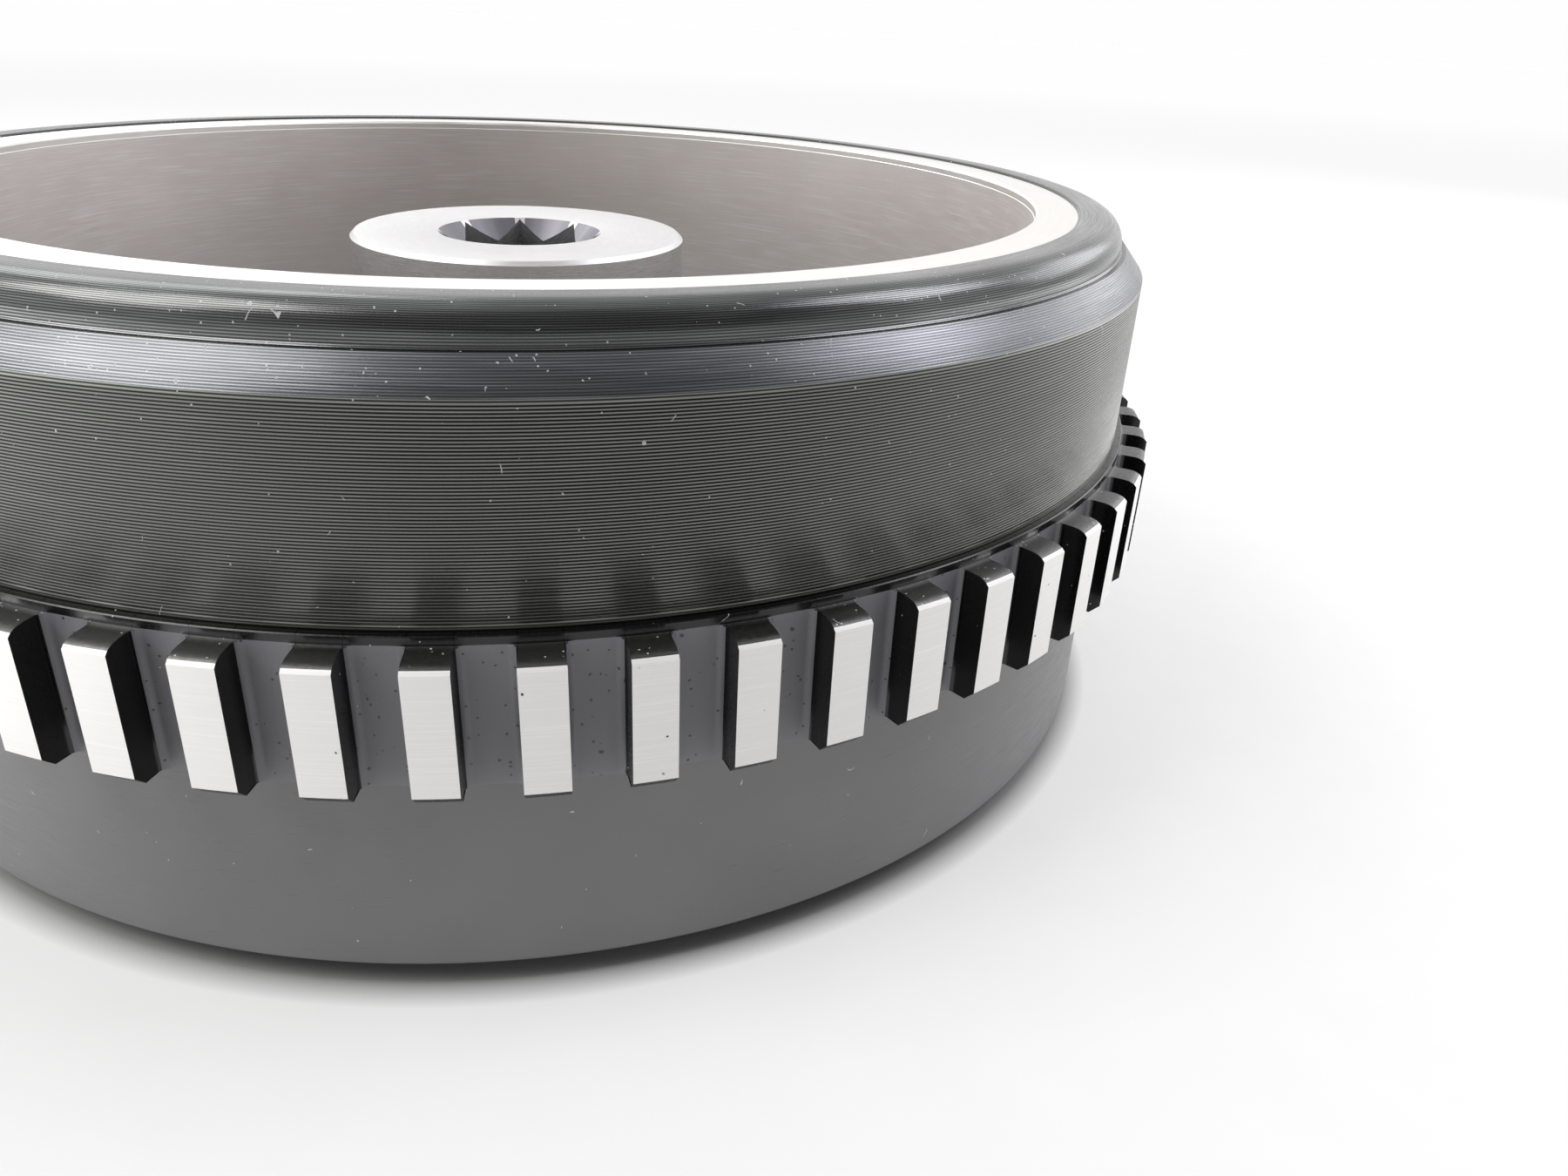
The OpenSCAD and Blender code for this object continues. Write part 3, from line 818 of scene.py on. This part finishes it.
@dataclass
class Spindle:
    """The main spindle: its head with the star-shaped handle socket, its shaft and its journal."""

    palette: Palette
    head_r: float = 25.5 * MM
    head_z: float = 65.3 * MM
    head_bottom_z: float = 54 * MM
    chamfer: float = 0.6 * MM
    socket_w: float = 17.46 * MM
    socket_depth: float = 38 * MM
    lead_in_r: float = 12.6 * MM
    mouth_edge: float = 0.15 * MM
    shaft_r: float = 14.95 * MM
    segments: int = 192

    def star(self, angle: float) -> float:
        """Find the socket's wall at an angle.

        Args:
            angle: the direction, in radians.

        Returns:
            The radius, in metres.
        """
        half = self.socket_w / 2
        reach = [half / max(abs(math.cos(angle - turn)), abs(math.sin(angle - turn))) for turn in (0, math.pi / 4)]
        return max(reach)

    def outer(self) -> list[Point]:
        """Draw the outside, from the socket's mouth over the head and down the shaft.

        Returns:
            Radius and height of each point.
        """
        c = self.chamfer
        edge = self.mouth_edge
        return [
            (self.lead_in_r - edge / 2, self.head_z - edge / 2), (self.lead_in_r + edge, self.head_z),
            (self.head_r - c, self.head_z), (self.head_r, self.head_z - c), (self.head_r, self.head_bottom_z + c),
            (self.head_r - c, self.head_bottom_z), (self.shaft_r, self.head_bottom_z), (self.shaft_r, 23 * MM),
            (12 * MM, 23 * MM), (12 * MM, 11 * MM), (11 * MM, 11 * MM), (11 * MM, 10 * MM), (12 * MM, 10 * MM),
            (12 * MM, 8.5 * MM), (9 * MM, 8.5 * MM), (9 * MM, 3.6 * MM),
        ]

    def mesh(self) -> bpy.types.Mesh:
        """Join the socket's floor and star-shaped wall to the turned outside.

        Returns:
            The spindle's mesh.
        """
        turns = [math.tau * k / self.segments for k in range(self.segments)]
        wall = [self.star(a) for a in turns]
        floor_z = self.head_z - self.socket_depth
        rows = [[(r * math.cos(a), r * math.sin(a), floor_z) for a, r in zip(turns, wall)],
                [(r * math.cos(a), r * math.sin(a), self.head_z - (self.lead_in_r - r)) for a, r in zip(turns, wall)]]
        rows += [[(r * math.cos(a), r * math.sin(a), z) for a in turns] for r, z in self.outer()]
        faces = quads(len(rows), self.segments, closed=False)
        faces.append(tuple(range(self.segments)))
        last = (len(rows) - 1) * self.segments
        faces.append(tuple(range(last + self.segments - 1, last - 1, -1)))
        mesh = bpy.data.meshes.new("spindle")
        mesh.from_pydata([vert for row in rows for vert in row], [], faces)
        return mesh

    def dress(self, piece: bpy.types.Object) -> None:
        """Give the side, the face and the socket their finishes.

        Args:
            piece: the spindle's piece.
        """
        p = self.palette
        for finish in (p.hub_side, p.hub_face, p.steel):
            piece.data.materials.append(finish.write())
        socket_z = self.head_z - self.lead_in_r + self.socket_w / 2
        for face in piece.data.polygons:
            radius = math.hypot(face.center.x, face.center.y)
            if face.center.z > self.head_z - 0.9 * self.chamfer and radius > 8 * MM:
                face.material_index = HeadPatch.FACE.value
            elif radius < 26 * MM and face.center.z < socket_z:
                face.material_index = HeadPatch.SOCKET.value

    def build(self) -> bpy.types.Object:
        """Build the spindle.

        Returns:
            The spindle's piece.
        """
        piece = finished("spindle", self.mesh(), 20.0)
        self.dress(piece)
        return fasten(piece, "spindle", "main_spindle")


@dataclass
class InnerParts:
    """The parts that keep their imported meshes: bushes, bearings, gears, ratchet, pawls and fasteners."""

    palette: Palette

    def finishes(self) -> dict[str, Finish]:
        """Choose a finish for each material slot of the record.

        Returns:
            The finish of each slot, by the slot's name.
        """
        p = self.palette
        return {
            "black_anodised": p.band, "machined_ring": p.teeth, "cast_base": p.skirt, "machined_spindle": p.hub_side,
            "machined_steel": p.steel, "stainless": p.steel, "bronze": p.bronze, "acetal": p.acetal,
            "rubber_gasket": p.rubber,
        }

    def dress(self) -> None:
        """Give every node of the frame the finish of its slot."""
        finishes = self.finishes()
        for entry in frame["record"]["subparts"]:
            node = frame["nodes"][entry["node"]]
            node.data.materials.clear()
            node.data.materials.append(finishes[entry["material_slot"]].write())
            LOG.info("%s has the finish %s", entry["node"], node.data.materials[0].name)


@dataclass(frozen=True)
class Lamp:
    """A soft light, aimed at the winch.

    Attributes:
        name: its name.
        azimuth: its direction in plan, in degrees from the front towards the right.
        elevation: its direction above the deck, in degrees.
        distance: how far it hangs from the winch, in metres.
        size: its width and height, in metres.
        power: its power in watts.
        color: its colour.
    """

    name: str
    azimuth: float
    elevation: float
    distance: float
    size: Point
    power: float
    color: Rgb

    def hang(self) -> None:
        """Hang the light in the scene."""
        turn, lift = math.radians(self.azimuth), math.radians(self.elevation)
        away = Vector((math.sin(turn) * math.cos(lift), -math.cos(turn) * math.cos(lift), math.sin(lift)))
        data = bpy.data.lights.new(self.name, "AREA")
        data.shape = "RECTANGLE"
        data.size, data.size_y = self.size
        data.energy, data.color = self.power, self.color
        lamp = bpy.data.objects.new(self.name, data)
        lamp.location = Vector((0.0, 0.0, 0.05)) + self.distance * away
        lamp.rotation_mode = "QUATERNION"
        lamp.rotation_quaternion = away.to_track_quat("Z", "Y")
        bpy.context.scene.collection.objects.link(lamp)
        LOG.info("%s light hangs %.1f m away at %g W", self.name, self.distance, self.power)


LAMPS = (
    Lamp("window", -75, 48, 0.9, (0.5, 0.5), 4.2, (1.0, 0.99, 0.97)),
    Lamp("right", 85, 44, 0.9, (0.4, 0.4), 2.2, (0.95, 0.94, 1.0)),
    Lamp("right_low", 112, 19, 0.9, (0.5, 0.3), 1.0, (0.98, 0.97, 1.0)),
    Lamp("back_left", -150, 40, 0.9, (0.5, 0.4), 1.4, (1.0, 1.0, 1.0)),
)


@dataclass(frozen=True)
class PaintedLightPatch:
    """A patch of the floor that glows brighter or dimmer than the rest: a painted pool of light or of shade.

    Attributes:
        center: where it lies.
        near: the radius inside which it has its full gain, in metres.
        far: the radius where it ends, in metres.
        gain: how many times brighter than the rest its middle is.
    """

    center: Point3
    near: float
    far: float
    gain: float


# Painted shade in a dim patch in front of the winch, and painted pools of light to its left and right
PAINTED_LIGHT_PATCHES = (
    PaintedLightPatch((0.0, -0.44, 0.0), 0.12, 0.3, 0.3),
    PaintedLightPatch((-0.3, -0.14, 0.0), 0.08, 0.22, 5.0),
    PaintedLightPatch((0.38, -0.03, 0.0), 0.1, 0.22, 5.0),
)


@dataclass
class Studio:
    """The pale floor, the soft lights and the camera."""

    eye: Vector = field(default_factory=lambda: Vector((0.0, -194.3 * MM, 97.94 * MM)))
    yaw: float = 13.26
    pitch: float = 26.18
    roll: float = 3.07
    lens: float = 26.79
    sensor: float = 36.0
    sky_power: float = 0.99
    dim_power: float = 0.08
    dim_end: Point3 = (0.12, -0.8, 0.588)
    floor_reach: float = 9.0
    floor_tone: float = 0.4
    floor_glow: float = 0.52
    far_glow: float = 0.12

    def camera(self) -> None:
        """Place the camera and make it the scene's own."""
        yaw, pitch, roll = (math.radians(a) for a in (self.yaw, self.pitch, self.roll))
        ahead = Vector((math.sin(yaw) * math.cos(pitch), math.cos(yaw) * math.cos(pitch), -math.sin(pitch)))
        right = Vector((math.cos(yaw), -math.sin(yaw), 0.0))
        up = right.cross(ahead)
        right, up = (math.cos(roll) * right + math.sin(roll) * up, math.cos(roll) * up - math.sin(roll) * right)
        data = bpy.data.cameras.new("camera")
        data.lens, data.sensor_width = self.lens, self.sensor
        data.clip_start, data.clip_end = 0.005, 50.0
        camera = bpy.data.objects.new("camera", data)
        turn = Matrix((right, up, -ahead)).transposed()
        camera.matrix_world = Matrix.Translation(self.eye) @ turn.to_4x4()
        bpy.context.scene.collection.objects.link(camera)
        bpy.context.scene.camera = camera

    def paper(self) -> bpy.types.Material:
        """Write the floor's pale paper, which glows a little so that it bounces light under the winch; the glow holds
        a painted contact shadow round the foot and painted pools of light and shade.

        Returns:
            The paper's material.
        """
        sheet = MaterialSheet("floor_paper")
        place = sheet.add("ShaderNodeTexCoord").outputs["Object"]
        grain = sheet.span(sheet.noise(place, 90.0, 4.0), 0.3, 0.7, 0.985, 1.0)
        tone = sheet.math("MULTIPLY", grain, self.floor_tone)
        sheet.feed(sheet.shader.inputs["Base Color"], sheet.vector(tone, tone, tone))
        away = sheet.gap(place, (0.0, 0.0, 0.0))
        # Painted contact shadow: the glow stops inside a ring just round the foot; farther out it rises a little with
        # distance
        shade = sheet.math("ADD", sheet.span(away, 0.0935, 0.0975, 0.0, self.floor_glow),
                           sheet.span(away, 0.45, 2.0, 0.0, self.far_glow))
        plain = glow = sheet.math("MULTIPLY", grain, shade)
        # Painted pools of light and shade from the patches, which only lighting and reflections see; the camera sees
        # the plain glow
        for patch in PAINTED_LIGHT_PATCHES:
            gain = sheet.span(sheet.gap(place, patch.center), patch.near, patch.far, patch.gain, 1.0)
            glow = sheet.math("MULTIPLY", glow, gain)
        glow = sheet.math("MULTIPLY_ADD", sheet.camera_ray(), sheet.math("SUBTRACT", plain, glow), glow)
        sheet.feed(sheet.shader.inputs["Emission Color"], sheet.vector(glow, glow, glow))
        sheet.shader.inputs["Emission Strength"].default_value = 1.0
        sheet.shader.inputs["Roughness"].default_value = 0.7
        return sheet.material

    def floor(self) -> None:
        """Lay a wide pale floor."""
        reach = self.floor_reach
        mesh = bpy.data.meshes.new("floor")
        mesh.from_pydata([(-reach, -reach, 0), (reach, -reach, 0), (reach, reach, 0), (-reach, reach, 0)], [],
                         [(0, 1, 2, 3)])
        mesh.materials.append(self.paper())
        floor = bpy.data.objects.new("floor", mesh)
        bpy.context.scene.collection.objects.link(floor)
        LOG.info("floor laid, %g m across", 2 * reach)

    def sky(self) -> None:
        """Light the room evenly, with a dim end high in front of the winch that only reflections see."""
        world = bpy.data.worlds.new("sky")
        world.use_nodes = True
        sheet = NodeSheet(world.node_tree)
        way = sheet.add("ShaderNodeTexCoord").outputs["Generated"]
        facing = sheet.add("ShaderNodeVectorMath", {0: way, 1: self.dim_end}, operation="DOT_PRODUCT")
        tone = sheet.span(facing.outputs["Value"], 0.45, 0.85, self.sky_power, self.dim_power)
        tone = sheet.math("MAXIMUM", tone, sheet.math("MULTIPLY", sheet.camera_ray(), self.sky_power))
        sheet.feed(world.node_tree.nodes["Background"].inputs["Color"], sheet.vector(tone, tone, tone))
        bpy.context.scene.world = world

    def build(self) -> None:
        """Build the camera, the floor, the sky and the lights."""
        self.camera()
        self.floor()
        self.sky()
        for lamp in LAMPS:
            lamp.hang()
        bpy.context.scene.view_settings.view_transform = "Standard"
        LOG.info("studio: camera at %s", tuple(round(c, 4) for c in self.eye))


def main() -> None:
    """Build the studio and every piece of the winch, in order."""
    logging.basicConfig(level=logging.INFO, format="%(name)s: %(message)s")
    palette = Palette()
    Studio().build()
    InnerParts(palette).dress()
    for piece in (Drum(palette), ToothedRing(palette), Base(palette), Spindle(palette)):
        piece.build()


if __name__ == "__main__":
    main()
